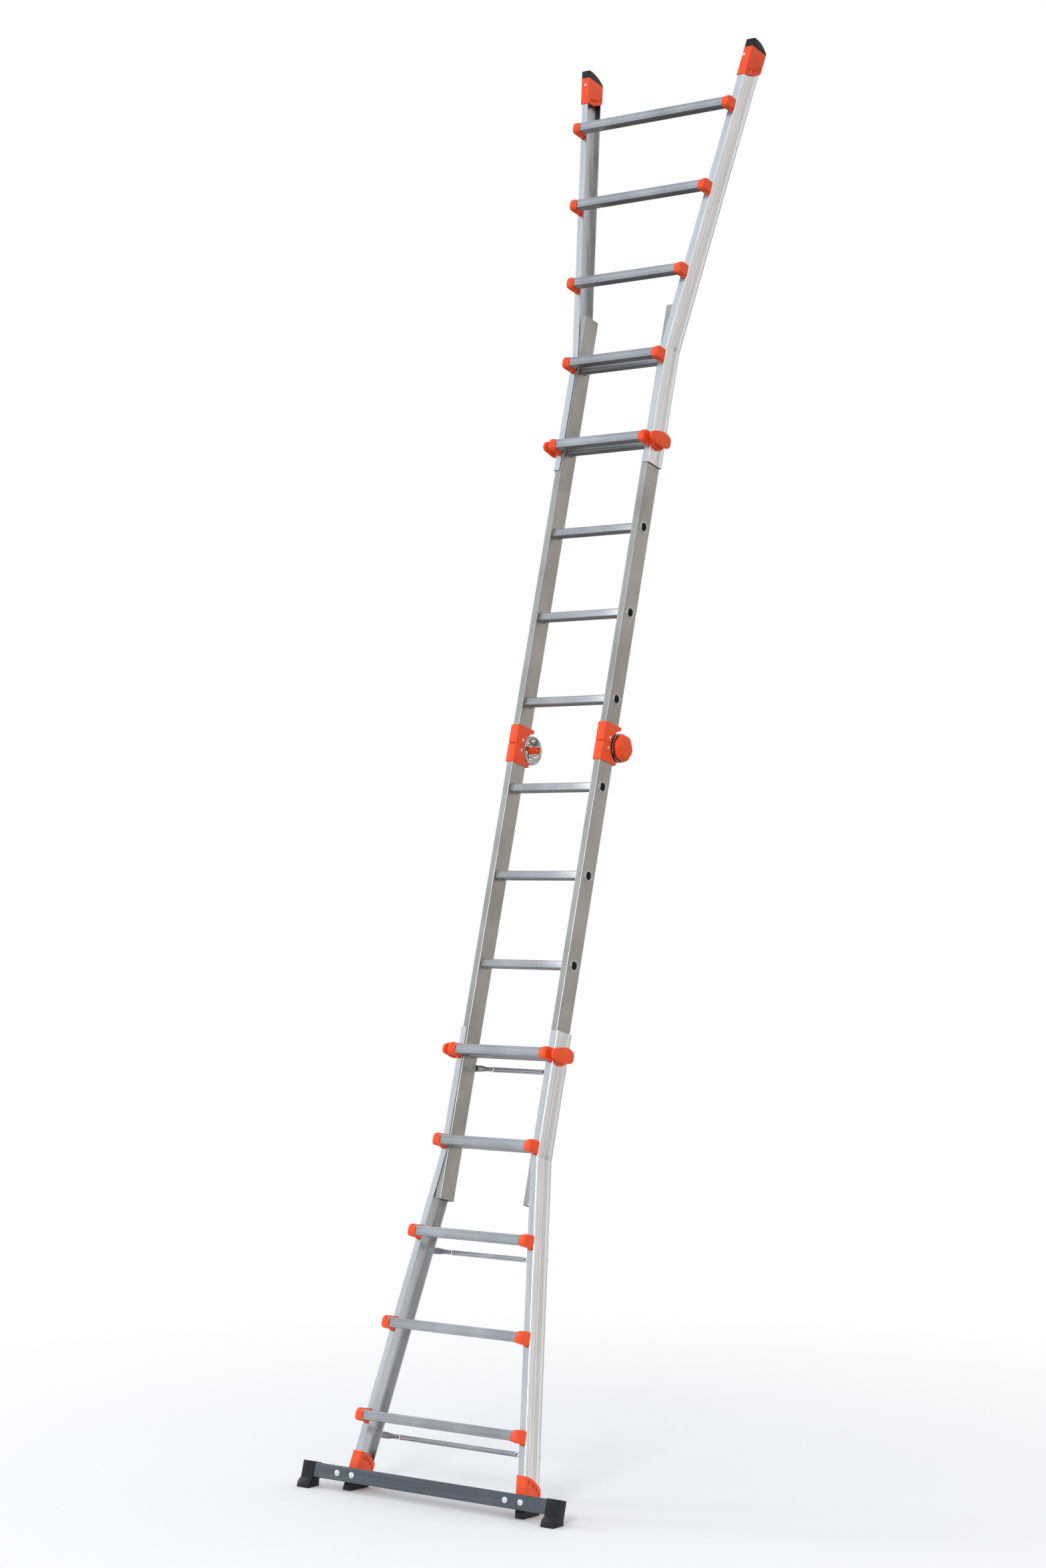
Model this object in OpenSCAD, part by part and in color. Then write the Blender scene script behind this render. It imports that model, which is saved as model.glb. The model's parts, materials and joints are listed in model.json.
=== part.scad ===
// Folding, telescoping two-section ladder leaning in its long position.
// The ladder is drawn along its rails: x across, y from the climbing side to the back,
// z up the rails from the centre hinge; it is then leaned back onto the floor (row frame, millimetres).

/* [Stance] */
// lean of the rails from the vertical, in degrees
lean = 15; // [10:0.5:20]
// distance along the rails from the hinge to the sole
foot_reach = 2325; // [2300:1:2500]

/* [Rungs] */
// spacing of the rungs along the rails
rung_pitch = 280; // [260:1:300]
// number of rungs in each section
rungs_each = 5; // [5:1:5]
// depth of an outer rung, front to back
rung_d = 30; // [26:0.5:34]
// height of an outer rung
rung_h = 29; // [25:0.5:33]
// depth of an inner rung
inner_rung_d = 30; // [26:0.5:32]
// height of an inner rung
inner_rung_h = 25; // [22:0.5:28]
// wall of the rung tubes
rung_wall = 2; // [1.5:0.1:3]

/* [Inner rails] */
// outer face of an inner rail from mid-width
inner_rail_out = 183; // [170:0.5:200]
// width of an inner rail
inner_rail_w = 25; // [22:0.5:28]
// depth of an inner rail
inner_rail_d = 66; // [60:0.5:72]
// wall of an inner rail
inner_rail_wall = 2; // [1.5:0.1:3]
// distance from the hinge to the free end of an inner rail
inner_rail_end = 1434; // [1400:1:1450]

/* [Outer rails] */
// outer face of an outer rail above the kink
outer_rail_out = 188; // [186:0.5:205]
// distance from the hinge to the start of an outer rail
outer_rail_start = 905; // [900:1:930]
// distance from the hinge to the kink
kink = 1290; // [1280:1:1400]
// outward slope of the flared length, in degrees
flare = 8.53; // [0:0.01:12]
// distance from the hinge to the end of an outer rail
outer_rail_end = 2290; // [2285:1:2295]

/* [Boots and feet] */
// highest point of a boot, from the hinge
boot_start = 2206; // [2190:1:2220]
// joint between boot and rubber foot, from the hinge
boot_end = 2300; // [2297:1:2304]

/* [Stabiliser bar] */
// half length of the metal bar
bar_half = 443; // [380:1:600]
// height of the bar
bar_h = 44; // [38:1:50]
// depth of the bar
bar_d = 31; // [26:1:36]
// height of the bar's middle above the sole, along the rails
bar_up = 44; // [40:1:60]

/* [Hinge] */
// distance of the hinge axis behind the front of the inner rails
hinge_back = 90; // [85:0.5:95]
// radius of the hinge discs
disc_r = 45.5; // [44:0.5:47]
// radius of the scalloped knob
hinge_knob_r = 42; // [38:0.5:44]
// radius of the pins of the hinge release
hinge_pin_r = 3; // [2.5:0.1:4]

/* [Slide locks] */
// radius of the slide lock pin
lock_pin_r = 8; // [6:0.5:9]
// outer face of the wing of a slide lock
wing_out = 216; // [212:0.5:222]

/* [Hidden] */
$fn = 48;
run_fit = 0.05;                         // running clearance on pins, each side
inner_rail_in = inner_rail_out - inner_rail_w;
inner_rung_v = 32;                      // middle of an inner rung behind the rail's front
inner_rung_r = 4;
ring_out = inner_rail_out + 0.8;        // outer face of the swaged rings
first_outer_rung = 3.5 * rung_pitch;    // outermost inner rungs and first outer rungs meet here
lip_front = -3.5;                       // front face of the outer channel
lip_behind = -0.6;                      // rear face of the front lip
back_lip = 70.2;                        // rear face of the outer channel
back_lip_in = 66.6;                     // inner face of the back lip
channel_w = 24.3;                       // width of the outer channel's lips
web_in = 3.7;                           // inner face of the web behind the outermost face
rung_front = -42.7;                     // front face of an outer rung
rung_back = rung_front + rung_d;
rung_mid_v = rung_front + rung_d / 2;
rung_r = 3;
cap_half = 13;                          // half width of a rung cap across the rail
cap_h = 39;
cap_front = -48;
rivet_r = 3;
rivet_head_r = 5;
notch_rail = 53;                        // round notch in the inner rails about the hinge axis
notch_housing = 52;                     // round notch in the housings
housing_out = 185.5;
housing_in = 155.5;
housing_gap = 0.5;
housing_end = 61;
housing_front = -3;
housing_back = 77;
end_wall = 3;                           // thickness kept closed at the hinge end of a housing
housing_rivet_z = 16;
housing_rivet_v = 30;
pin_circle = 29;                        // radius of the circle of release pins and dimples
bush_r = 14;
spindle_r = 11.5;
lower_disc_u = 172.5;                   // inner face of the lower hinge disc
lower_disc_t = 5;
plate_u = 184.5;                        // inner face of the release plate
plate_t = 2.5;
knob_u = plate_u + plate_t + 2;
lock_v = inner_rung_v;                  // middle of a slide lock pin
lock_boss_r = 28;
lock_boss_out = 196;
wing_in = 205;
brace_r = 7.9;
brace_v = back_lip + brace_r;
brace_rows = [1020, 1585, 2148];
boot_front = -6;
boot_back = 73;
boot_in = 29.3;                         // boot inner face behind the rail's outermost face
boot_out = 4;
boot_r = 4;
arch_r = 109;                           // radius of the arched edge of a boot
cap_arc_v = 6.4;                        // centre and radius of an end cap's crown
cap_arc_w = 2222.2;
cap_arc_r = 105.1;
screw_head_r = 5;
screw_r = 2;
bar_w = foot_reach - bar_up;            // middle of the bar from the hinge
screw_w = 2275;                         // boot screws from the hinge
bar_front = boot_front - bar_d;
bar_wall = 2.5;
bar_end_len = 45;
bolt_in = 293;
bolt_out = 350;
bolt_r = 4;
clamp_t = 3.5;
clamp_v = boot_back + 0.2;
screw_left = 322;                       // boot screws, from mid-width
screw_right = 314.5;

// ---- placing ----

// Leans the ladder back and stands its soles on the floor.
module leaned() {
  rotate([-lean, 0, 0])
    translate([0, 0, foot_reach])
      children();
}

// Everything is drawn on the upper side of the hinge; the lower section is its mirror.
module section_of(upper) {
  if (upper) {
    leaned() children();
  } else {
    leaned() mirror([0, 0, 1]) children();
  }
}

// Drawn on the right; left is the mirror.
module side_of(right) {
  if (right) {
    children();
  } else {
    mirror([1, 0, 0]) children();
  }
}

module both_sides() {
  side_of(true) children();
  side_of(false) children();
}

// Frame that follows the flared length: x from the rail's outermost face, z along the flare.
module flared() {
  translate([outer_rail_out, 0, kink])
    rotate([0, flare, 0])
      children();
}

// Lays a drawing of (y, z) across the ladder, from x = from to x = to.
module across(from, to) {
  translate([from, 0, 0])
    rotate([90, 0, 90])
      linear_extrude(to - from)
        children();
}

// Round bar across the ladder.
module across_bar(from, to, y, z, r) {
  across(from, to)
    translate([y, z]) circle(r);
}

// Round bar from front to back.
module through_bar(x, from, to, z, r) {
  translate([x, to, z])
    rotate([90, 0, 0])
      cylinder(r = r, h = to - from);
}

module rounded(x0, x1, y0, y1, r) {
  translate([x0 + r, y0]) square([x1 - x0 - 2 * r, y1 - y0]);
  translate([x0, y0 + r]) square([x1 - x0, y1 - y0 - 2 * r]);
  for (x = [x0 + r, x1 - r]) {
    for (y = [y0 + r, y1 - r]) {
      translate([x, y]) circle(r);
    }
  }
}

function outer_rung_z(n) = first_outer_rung + (rungs_each - n) * rung_pitch;
function inner_rung_z(n) = (n - 0.5) * rung_pitch;
// outermost face of an outer rail at height z
function rail_face(z) = z < kink ? outer_rail_out : outer_rail_out + (z - kink) * tan(flare);
// middle of an outer rail's lips at height z
function rail_mid(z) = rail_face(z) - channel_w / 2 / (z < kink ? 1 : cos(flare));

// ---- inner rails and rungs ----

module inner_rail_outline(grow) {
  rounded(inner_rail_in - grow, inner_rail_out + grow, -grow, inner_rail_d + grow, 4 + grow);
}

module inner_rung_outline(z, shrink) {
  translate([inner_rung_v, z])
    rounded(-inner_rung_d / 2 + shrink, inner_rung_d / 2 - shrink,
            -inner_rung_h / 2 + shrink, inner_rung_h / 2 - shrink, inner_rung_r - shrink);
}

module inner_rail() {
  difference() {
    translate([0, 0, end_wall]) linear_extrude(inner_rail_end - end_wall) inner_rail_outline(0);
    translate([0, 0, end_wall - 1])
      linear_extrude(inner_rail_end - end_wall + 2)
        rounded(inner_rail_in + inner_rail_wall, inner_rail_out - inner_rail_wall,
                inner_rail_wall, inner_rail_d - inner_rail_wall, 2);
    across_bar(inner_rail_in - 2, inner_rail_out + 2, hinge_back, 0, notch_rail);
    for (n = [1:rungs_each]) {
      across(inner_rail_in - 1, inner_rail_out + 1) inner_rung_outline(inner_rung_z(n), 0);
    }
    across_bar(inner_rail_in - 1, inner_rail_out + 1, housing_rivet_v, housing_rivet_z, rivet_r);
  }
}

// Tubes through both rails, with a collar inside and a swaged ring outside each rail.
module inner_rungs() {
  for (n = [1:rungs_each]) {
    z = inner_rung_z(n);
    difference() {
      union() {
        across(-inner_rail_out, inner_rail_out) inner_rung_outline(z, 0);
        both_sides()
          across(inner_rail_in - 4, inner_rail_in)
            translate([inner_rung_v, z]) rounded(-18, 18, -15.5, 15.5, 6);
        both_sides()
          across(inner_rail_out, ring_out)
            translate([inner_rung_v, z]) rounded(-21, 21, -18.5, 18.5, 14);
      }
      across(-inner_rail_out - 2, inner_rail_out + 2) inner_rung_outline(z, rung_wall);
      both_sides()
        across(inner_rail_out, ring_out + 1)
          translate([inner_rung_v, z]) rounded(-13.5, 13.5, -11.5, 11.5, 8);
    }
  }
}

// ---- outer rails and rungs ----

// Strip that runs down the straight length and on down the flare, t0 to t1 behind the
// rail's outermost face and v0 to v1 from front to back.
module kinked_band(t0, t1, v0, v1) {
  miter = tan(flare / 2);
  slant = cos(flare);
  translate([0, v1, 0])
    rotate([90, 0, 0])
      linear_extrude(v1 - v0)
        polygon([
          [outer_rail_out + t0, outer_rail_start],
          [outer_rail_out + t1, outer_rail_start],
          [outer_rail_out + t1, kink - t1 * miter],
          [rail_face(outer_rail_end) + t1 / slant, outer_rail_end],
          [rail_face(outer_rail_end) + t0 / slant, outer_rail_end],
          [outer_rail_out + t0, kink - t0 * miter]
        ]);
}

// Open channel with a ribbed web.
module outer_rail_blank() {
  kinked_band(-channel_w, -1.2, lip_front, -2.5);
  kinked_band(-channel_w, -0.3, -2.5, lip_behind);
  kinked_band(-web_in, 0, lip_behind, 8.6);
  kinked_band(-web_in, -0.8, 8.6, 9.6);
  kinked_band(-web_in, 0, 9.6, 23.5);
  kinked_band(-web_in, -1.2, 23.5, 26.5);
  kinked_band(-web_in, 0, 26.5, 36);
  kinked_band(-web_in, -1, 36, 51);
  kinked_band(-web_in, 0, 51, 60.5);
  kinked_band(-web_in, -1, 60.5, back_lip_in);
  kinked_band(-channel_w, -1, back_lip_in, 68.6);
  kinked_band(-channel_w, -2.4, 68.6, back_lip);
}

module outer_rail(braced, screw_u) {
  difference() {
    outer_rail_blank();
    for (n = [1:rungs_each]) {
      through_bar(rail_mid(outer_rung_z(n)), lip_front - 1, lip_behind + 1, outer_rung_z(n), rivet_r);
    }
    across_bar(outer_rail_out - web_in - 1, outer_rail_out + 1, lock_v, first_outer_rung, lock_pin_r + 3);
    through_bar(screw_u, lip_front - 1, lip_behind + 1, screw_w, screw_r);
    if (braced) {
      for (z = brace_rows) {
        through_bar(rail_mid(z), back_lip_in - 1, back_lip + 1, z, rivet_r);
      }
    }
  }
}

module outer_rung_outline(z) {
  translate([rung_mid_v, z])
    rounded(-rung_d / 2, rung_d / 2, -rung_h / 2, rung_h / 2, rung_r);
}

// Tube with fine lengthwise grooves on its tread and front.
module outer_rung(n) {
  z = outer_rung_z(n);
  half = rail_mid(z) + 9;
  groove = 0.6;
  difference() {
    across(-half, half)
      difference() {
        outer_rung_outline(z);
        translate([rung_mid_v, z])
          rounded(-rung_d / 2 + rung_wall, rung_d / 2 - rung_wall,
                  -rung_h / 2 + rung_wall, rung_h / 2 - rung_wall, 1.2);
        for (v = [-8, -4, 0, 4, 8]) {
          translate([rung_mid_v + v - 0.6, z + rung_h / 2 - groove]) square([1.2, 2]);
          translate([rung_mid_v + v - 0.6, z - rung_h / 2 - 2 + groove]) square([1.2, 2]);
        }
        for (h = [-7, 0, 7]) {
          translate([rung_front - 2 + groove, z + h - 0.6]) square([2, 1.2]);
        }
      }
    both_sides() through_bar(rail_mid(z), rung_back - rung_wall - 1, rung_back + 1, z, rivet_r);
  }
}

// Moulded cap on the end of an outer rung: drum, collar, and a saddle over the rail's front lip.
module rung_cap(z) {
  mid = rail_mid(z);
  difference() {
    union() {
      across(mid - 2, mid + cap_half)
        rounded_nose(z, 0);
      across(mid - cap_half, mid - 2)
        rounded_nose(z, 1.5);
      across(mid + cap_half, mid + cap_half + 1.2)
        translate([rung_mid_v + 3, z]) circle(13.5);
      translate([mid - 12, rung_back, z - 24])
        cube([24, lip_front - rung_back, 46]);
    }
    across(mid - cap_half - 1, mid + 9)
      outer_rung_outline(z);
    through_bar(mid, rung_back - 1, lip_front + 1, z, rivet_r);
  }
}

// Side outline of a cap: round nose to the front, flat back.
module rounded_nose(z, shrink) {
  h = cap_h / 2 - shrink;
  front = cap_front + shrink;
  nose = 15;
  translate([front + nose, z - h]) square([lip_front - front - nose, 2 * h]);
  translate([front, z - h + nose]) square([nose, 2 * (h - nose)]);
  for (s = [-1, 1]) {
    translate([front + nose, z + s * (h - nose)]) circle(nose);
  }
}

module rung_caps() {
  for (n = [1:rungs_each]) {
    both_sides() rung_cap(outer_rung_z(n));
  }
}

// Shank through rung, cap and lip, with its head inside the rung.
module rung_rivets() {
  inside = rung_back - rung_wall;
  for (n = [1:rungs_each]) {
    z = outer_rung_z(n);
    both_sides() {
      through_bar(rail_mid(z), inside, lip_behind, z, rivet_r);
      through_bar(rail_mid(z), inside - 2, inside, z, rivet_head_r);
    }
  }
}

// ---- boots and feet ----

// Block that follows the flare between two heights measured from the hinge.
module boot_block(z0, z1) {
  intersection() {
    flared()
      translate([0, 0, 880])
        linear_extrude(220)
          rounded(-boot_in, boot_out, boot_front, boot_back, boot_r);
    translate([0, -100, z0])
      cube([600, 300, z1 - z0]);
  }
}

// Room for the outer rail inside a boot.
module boot_pocket() {
  intersection() {
    flared()
      translate([0, 0, 880])
        linear_extrude(220)
          translate([-channel_w, lip_front]) square([channel_w, back_lip - lip_front]);
    translate([0, -100, boot_start - 10])
      cube([600, 300, outer_rail_end - boot_start + 10]);
  }
}

module boot(screw_u) {
  centre_z = boot_start + arch_r;
  row_r = arch_r - 15;
  difference() {
    boot_block(boot_start, boot_end);
    boot_pocket();
    difference() {
      translate([200, boot_front - 5, boot_start - 5])
        cube([250, boot_back - boot_front + 10, 60]);
      across_bar(190, 460, boot_front, centre_z, arch_r);
    }
    for (i = [0:4]) {
      v = 13 + 12 * i;
      half_v = 4 - 0.35 * i;
      half_w = 6.5 - 0.5 * i;
      translate([0, v, centre_z - sqrt(row_r * row_r - (v - boot_front) * (v - boot_front))])
        across(250, 400)
          rounded(-half_v, half_v, -half_w, half_w, 1.2);
    }
    through_bar(screw_u, boot_front - 1, lip_front + 1, screw_w, screw_r);
  }
}

// Everything beyond the floor's plane.
module past_floor() {
  translate([0, 0, foot_reach])
    rotate([-lean, 0, 0])
      translate([0, -100, 0])
        cube([600, 300, 100]);
}

// Rubber sole, cut off along the floor.
module rubber_foot() {
  difference() {
    boot_block(boot_end, foot_reach + 20);
    past_floor();
  }
}

// Rubber end cap with a crowned top that falls away to the back.
module rubber_cap() {
  intersection() {
    boot_block(boot_end, foot_reach + 20);
    across_bar(200, 460, cap_arc_v, cap_arc_w, cap_arc_r);
  }
}

module boot_screw(u) {
  through_bar(u, boot_front, lip_behind + 2, screw_w, screw_r);
  through_bar(u, boot_front - 2, boot_front, screw_w, screw_head_r);
}

// ---- stabiliser bar ----

module bar_outline(shrink) {
  translate([0, bar_w])
    rounded(bar_front + shrink, boot_front - shrink, -bar_h / 2 + shrink, bar_h / 2 - shrink, 4 - shrink);
}

module bar_tube() {
  difference() {
    across(-bar_half, bar_half)
      difference() {
        bar_outline(0);
        bar_outline(bar_wall);
      }
    both_sides() {
      for (u = [bolt_in, bolt_out]) {
        through_bar(u, bar_front - 1, boot_front + 1, bar_w, bolt_r);
      }
    }
    for (u = [-screw_left, screw_right]) {
      through_bar(u, boot_front - bar_wall - 1, boot_front + 1, screw_w, screw_head_r + 1);
    }
  }
}

// End cap with a plug in the tube and, under it, a foot that flares to the front.
module bar_foot() {
  difference() {
    union() {
      across(bar_half, bar_half + bar_end_len)
        translate([0, bar_w])
          rounded(bar_front - 2, boot_front + 2, -bar_h / 2 - 2, bar_h / 2 + 2, 3);
      across(bar_half - 25, bar_half)
        bar_outline(bar_wall);
      across(bar_half, bar_half + bar_end_len + 1)
        polygon([
          [boot_front + 1, bar_w + 18], [bar_front - 1, bar_w + 18], [bar_front - 1, bar_w + 26],
          [bar_front - 12, bar_w + 39], [bar_front - 13, bar_w + 60], [boot_front + 3, bar_w + 60],
          [boot_front + 3, bar_w + 39], [boot_front + 1, bar_w + 30]
        ]);
    }
    past_floor();
  }
}

// Domed carriage bolt, shank past the back of the boot, and a nut.
module bar_bolt(u) {
  nut_v = clamp_v + clamp_t;
  through_bar(u, bar_front, nut_v + 8, bar_w, bolt_r);
  intersection() {
    translate([u, bar_front + 7, bar_w]) sphere(12);
    through_bar(u, bar_front - 5, bar_front, bar_w, 11);
  }
  translate([u, nut_v + 6, bar_w])
    rotate([90, 0, 0])
      difference() {
        cylinder(r = 7.5, h = 6, $fn = 6);
        translate([0, 0, -1]) cylinder(r = bolt_r, h = 8);
      }
}

// Flat strap behind the boot, joined to the bar by the two bolts.
module bar_clamp() {
  difference() {
    translate([bolt_in - 9, clamp_v, bar_w - 14])
      cube([bolt_out - bolt_in + 18, clamp_t, 28]);
    for (u = [bolt_in, bolt_out]) {
      through_bar(u, clamp_v - 1, clamp_v + clamp_t + 1, bar_w, bolt_r);
    }
  }
}

// ---- brace rods ----

// Round tube with flattened ends laid on the rails' back lips.
module brace_rod(z) {
  mid = rail_mid(z);
  edge = mid - channel_w / 2;
  spade_t = 3.6;
  difference() {
    union() {
      across_bar(-edge + 38, edge - 38, brace_v, z, brace_r);
      both_sides()
        translate([0, back_lip + spade_t, z])
          rotate([90, 0, 0])
            linear_extrude(spade_t)
              polygon([
                [mid + 8, -10], [edge - 26, -10], [edge - 38, -6.5], [edge - 52, -6.5],
                [edge - 52, 6.5], [edge - 38, 6.5], [edge - 26, 10], [mid + 8, 10]
              ]);
    }
    both_sides() {
      through_bar(mid, back_lip - 1, back_lip + spade_t + 1, z, rivet_r);
      through_bar(edge - 64, back_lip - 1, back_lip + 2 * brace_r + 1, z, 2.6);
    }
  }
}

module brace_rivet(z) {
  spade_back = back_lip + 3.6;
  through_bar(rail_mid(z), back_lip_in, spade_back, z, rivet_r);
  through_bar(rail_mid(z), spade_back, spade_back + 2, z, rivet_head_r);
}

// ---- hinge ----

module housing() {
  difference() {
    across(housing_in, housing_out)
      difference() {
        rounded(housing_front, housing_back, housing_gap, housing_end, 4);
        translate([hinge_back, 0]) circle(notch_housing);
      }
    translate([0, 0, end_wall])
      linear_extrude(housing_end)
        inner_rail_outline(0);
    across_bar(housing_in - 1, housing_out + 1, housing_rivet_v, housing_rivet_z, rivet_r);
  }
}

module housing_rivet() {
  across_bar(housing_in, housing_out, housing_rivet_v, housing_rivet_z, rivet_r);
  across_bar(housing_in - 1.2, housing_in, housing_rivet_v, housing_rivet_z, rivet_head_r);
  across_bar(housing_out, housing_out + 1.2, housing_rivet_v, housing_rivet_z, rivet_head_r);
}

// Arm of a hinge plate inside the rail, drawn as (y, z).
module arm_outline() {
  translate([6, end_wall]) square([54, 117]);
}

// Flat disc and arm fixed in the lower rail, drawn on the upper side and mirrored with its section.
module hinge_disc() {
  difference() {
    across(lower_disc_u, lower_disc_u + lower_disc_t)
      union() {
        translate([hinge_back, 0]) circle(disc_r);
        arm_outline();
      }
    across_bar(lower_disc_u - 1, lower_disc_u + lower_disc_t + 1, hinge_back, 0, bush_r);
    pin_ring(lower_disc_u - 1, lower_disc_u + lower_disc_t + 1, hinge_pin_r + run_fit);
    across_bar(lower_disc_u - 1, lower_disc_u + lower_disc_t + 1, housing_rivet_v, housing_rivet_z, rivet_r);
  }
}

// Bars on the circle of the release pins.
module pin_ring(from, to, r) {
  for (a = [30:60:330]) {
    across_bar(from, to, hinge_back + pin_circle * cos(a), pin_circle * sin(a), r);
  }
}

module hinge_bush() {
  across(169.2, 178)
    difference() {
      translate([hinge_back, 0]) circle(bush_r);
      translate([hinge_back, 0]) circle(spindle_r + run_fit);
    }
}

// Pressed dish turning on the bush, with dimples and the arm fixed in the upper rail.
module hinge_dish() {
  arm_u = 161;
  difference() {
    union() {
      translate([0, hinge_back, 0])
        rotate([0, 90, 0])
          rotate_extrude()
            polygon([
              [bush_r + run_fit, 169], [18, 169], [38, 159], [disc_r, 159], [disc_r, arm_u + 4],
              [43, arm_u + 4], [43, 161.5], [39, 161.5], [19, 171.5], [bush_r + run_fit, 171.5]
            ]);
      for (a = [30:60:330]) {
        translate([164.4, hinge_back + pin_circle * cos(a), pin_circle * sin(a)]) sphere(4.8);
      }
      across(arm_u, arm_u + 4)
        difference() {
          arm_outline();
          translate([hinge_back, 0]) circle(44);
        }
    }
    across_bar(arm_u - 1, arm_u + 5, housing_rivet_v, housing_rivet_z, rivet_r);
  }
}

// Six-lobed hand knob with a crowned face.
module hinge_knob() {
  crown = 206;
  lobe_at = 24;
  intersection() {
    across(knob_u - 2, crown)
      translate([hinge_back, 0]) {
        circle(hinge_knob_r - 2);
        for (a = [0:60:300]) {
          translate([lobe_at * cos(a), lobe_at * sin(a)]) circle(hinge_knob_r - lobe_at);
        }
      }
    translate([0, hinge_back, 0])
      rotate([0, 90, 0])
        rotate_extrude()
          polygon([
            [0, knob_u - 2], [20, knob_u - 2], [20, knob_u], [hinge_knob_r + 1, knob_u],
            [hinge_knob_r + 1, 198], [hinge_knob_r - 2, 202.5], [hinge_knob_r - 9, 205], [24, crown], [0, crown]
          ]);
  }
}

module hinge_spindle() {
  difference() {
    across_bar(137, knob_u - 2, hinge_back, 0, spindle_r);
    across_bar(136, 149, hinge_back, 0, 8);
  }
}

// Plate behind the knob with six pins, and the screw in the spindle's open end.
module release_plate() {
  difference() {
    across_bar(plate_u, plate_u + plate_t, hinge_back, 0, disc_r);
    across_bar(plate_u - 1, plate_u + plate_t + 1, hinge_back, 0, spindle_r);
  }
  pin_ring(176, plate_u, hinge_pin_r);
  across_bar(144, 149, hinge_back, 0, 5);
}

// ---- slide locks ----

// Boss fixed on the outer rail, with a spigot through its web.
module lock_bush() {
  difference() {
    union() {
      across_bar(outer_rail_out, lock_boss_out, lock_v - 4, first_outer_rung, lock_boss_r);
      across_bar(outer_rail_out - web_in, outer_rail_out, lock_v, first_outer_rung, lock_pin_r + 3);
    }
    across_bar(outer_rail_out - web_in - 1, lock_boss_out + 1, lock_v, first_outer_rung, lock_pin_r + run_fit);
  }
}

module lock_pin() {
  across_bar(ring_out + 0.6, wing_in + 4, lock_v, first_outer_rung, lock_pin_r);
}

// Wing shaped grip, the same way up in both sections.
module lock_knob(up) {
  z = first_outer_rung;
  difference() {
    union() {
      across_bar(lock_boss_out + 0.5, wing_in, lock_v - 4, z, 16);
      across(wing_in, wing_out)
        translate([0, z])
          scale([1, up])
            polygon([
              [-41, -5], [-39, 5], [-33, 13], [-20, 18.5], [0, 24], [26, 28.5], [40, 26], [56, 20],
              [61, 12], [61, -6], [54, -14.5], [40, -18], [29, -20.5], [7, -21.5], [-15, -18], [-34, -15.3]
            ]);
    }
    across_bar(lock_boss_out, wing_in + 4, lock_v, z, lock_pin_r);
  }
}

// ---- nodes ----

alu = [0.80, 0.81, 0.82];
bright = [0.86, 0.87, 0.88];
orange = [0.90, 0.33, 0.16];
black = [0.10, 0.10, 0.11];
slate = [0.33, 0.37, 0.40];

module lower_left_outer_rail() color(alu) section_of(false) side_of(false) outer_rail(true, screw_left);
module lower_right_outer_rail() color(alu) section_of(false) side_of(true) outer_rail(true, screw_right);
module lower_rung_1() color(alu) section_of(false) outer_rung(1);
module lower_rung_2() color(alu) section_of(false) outer_rung(2);
module lower_rung_3() color(alu) section_of(false) outer_rung(3);
module lower_rung_4() color(alu) section_of(false) outer_rung(4);
module lower_rung_5() color(alu) section_of(false) outer_rung(5);
module lower_rung_caps() color(orange) section_of(false) rung_caps();
module lower_rung_rivets() color(bright) section_of(false) rung_rivets();
module lower_boots() color(orange) section_of(false) both_boots();
module lower_feet() color(black) section_of(false) both_sides() rubber_foot();
module lower_boot_screws() color(bright) section_of(false) both_boot_screws();
module stabiliser_bar() color(slate) section_of(false) bar_tube();
module bar_feet() color(black) section_of(false) both_sides() bar_foot();
module bar_bolts() color(bright) section_of(false) both_sides() bolt_pair();
module bar_clamps() color(bright) section_of(false) both_sides() bar_clamp();
module brace_rods() color(alu) section_of(false) for (z = brace_rows) brace_rod(z);
module brace_rivets() color(bright) section_of(false) both_sides() for (z = brace_rows) brace_rivet(z);
module lower_lock_bushes() color(orange) section_of(false) both_sides() lock_bush();
module lower_left_inner_rail() color(alu) section_of(false) side_of(false) inner_rail();
module lower_right_inner_rail() color(alu) section_of(false) side_of(true) inner_rail();
module lower_inner_rungs() color(alu) section_of(false) inner_rungs();
module lower_hinge_housings() color(orange) section_of(false) both_sides() housing();
module lower_housing_rivets() color(bright) section_of(false) both_sides() housing_rivet();
module lower_hinge_discs() color(bright) section_of(false) both_sides() hinge_disc();
module hinge_bushes() color(bright) section_of(false) both_sides() hinge_bush();
module upper_left_inner_rail() color(alu) section_of(true) side_of(false) inner_rail();
module upper_right_inner_rail() color(alu) section_of(true) side_of(true) inner_rail();
module upper_inner_rungs() color(alu) section_of(true) inner_rungs();
module upper_hinge_housings() color(orange) section_of(true) both_sides() housing();
module upper_housing_rivets() color(bright) section_of(true) both_sides() housing_rivet();
module upper_hinge_dishes() color(bright) section_of(true) both_sides() hinge_dish();
module upper_left_outer_rail() color(alu) section_of(true) side_of(false) outer_rail(false, screw_left);
module upper_right_outer_rail() color(alu) section_of(true) side_of(true) outer_rail(false, screw_right);
module upper_rung_1() color(alu) section_of(true) outer_rung(1);
module upper_rung_2() color(alu) section_of(true) outer_rung(2);
module upper_rung_3() color(alu) section_of(true) outer_rung(3);
module upper_rung_4() color(alu) section_of(true) outer_rung(4);
module upper_rung_5() color(alu) section_of(true) outer_rung(5);
module upper_rung_caps() color(orange) section_of(true) rung_caps();
module upper_rung_rivets() color(bright) section_of(true) rung_rivets();
module upper_boots() color(orange) section_of(true) both_boots();
module upper_end_caps() color(black) section_of(true) both_sides() rubber_cap();
module upper_boot_screws() color(bright) section_of(true) both_boot_screws();
module upper_lock_bushes() color(orange) section_of(true) both_sides() lock_bush();
module lower_left_lock_knob() color(orange) section_of(false) side_of(false) lock_knob(-1);
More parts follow.
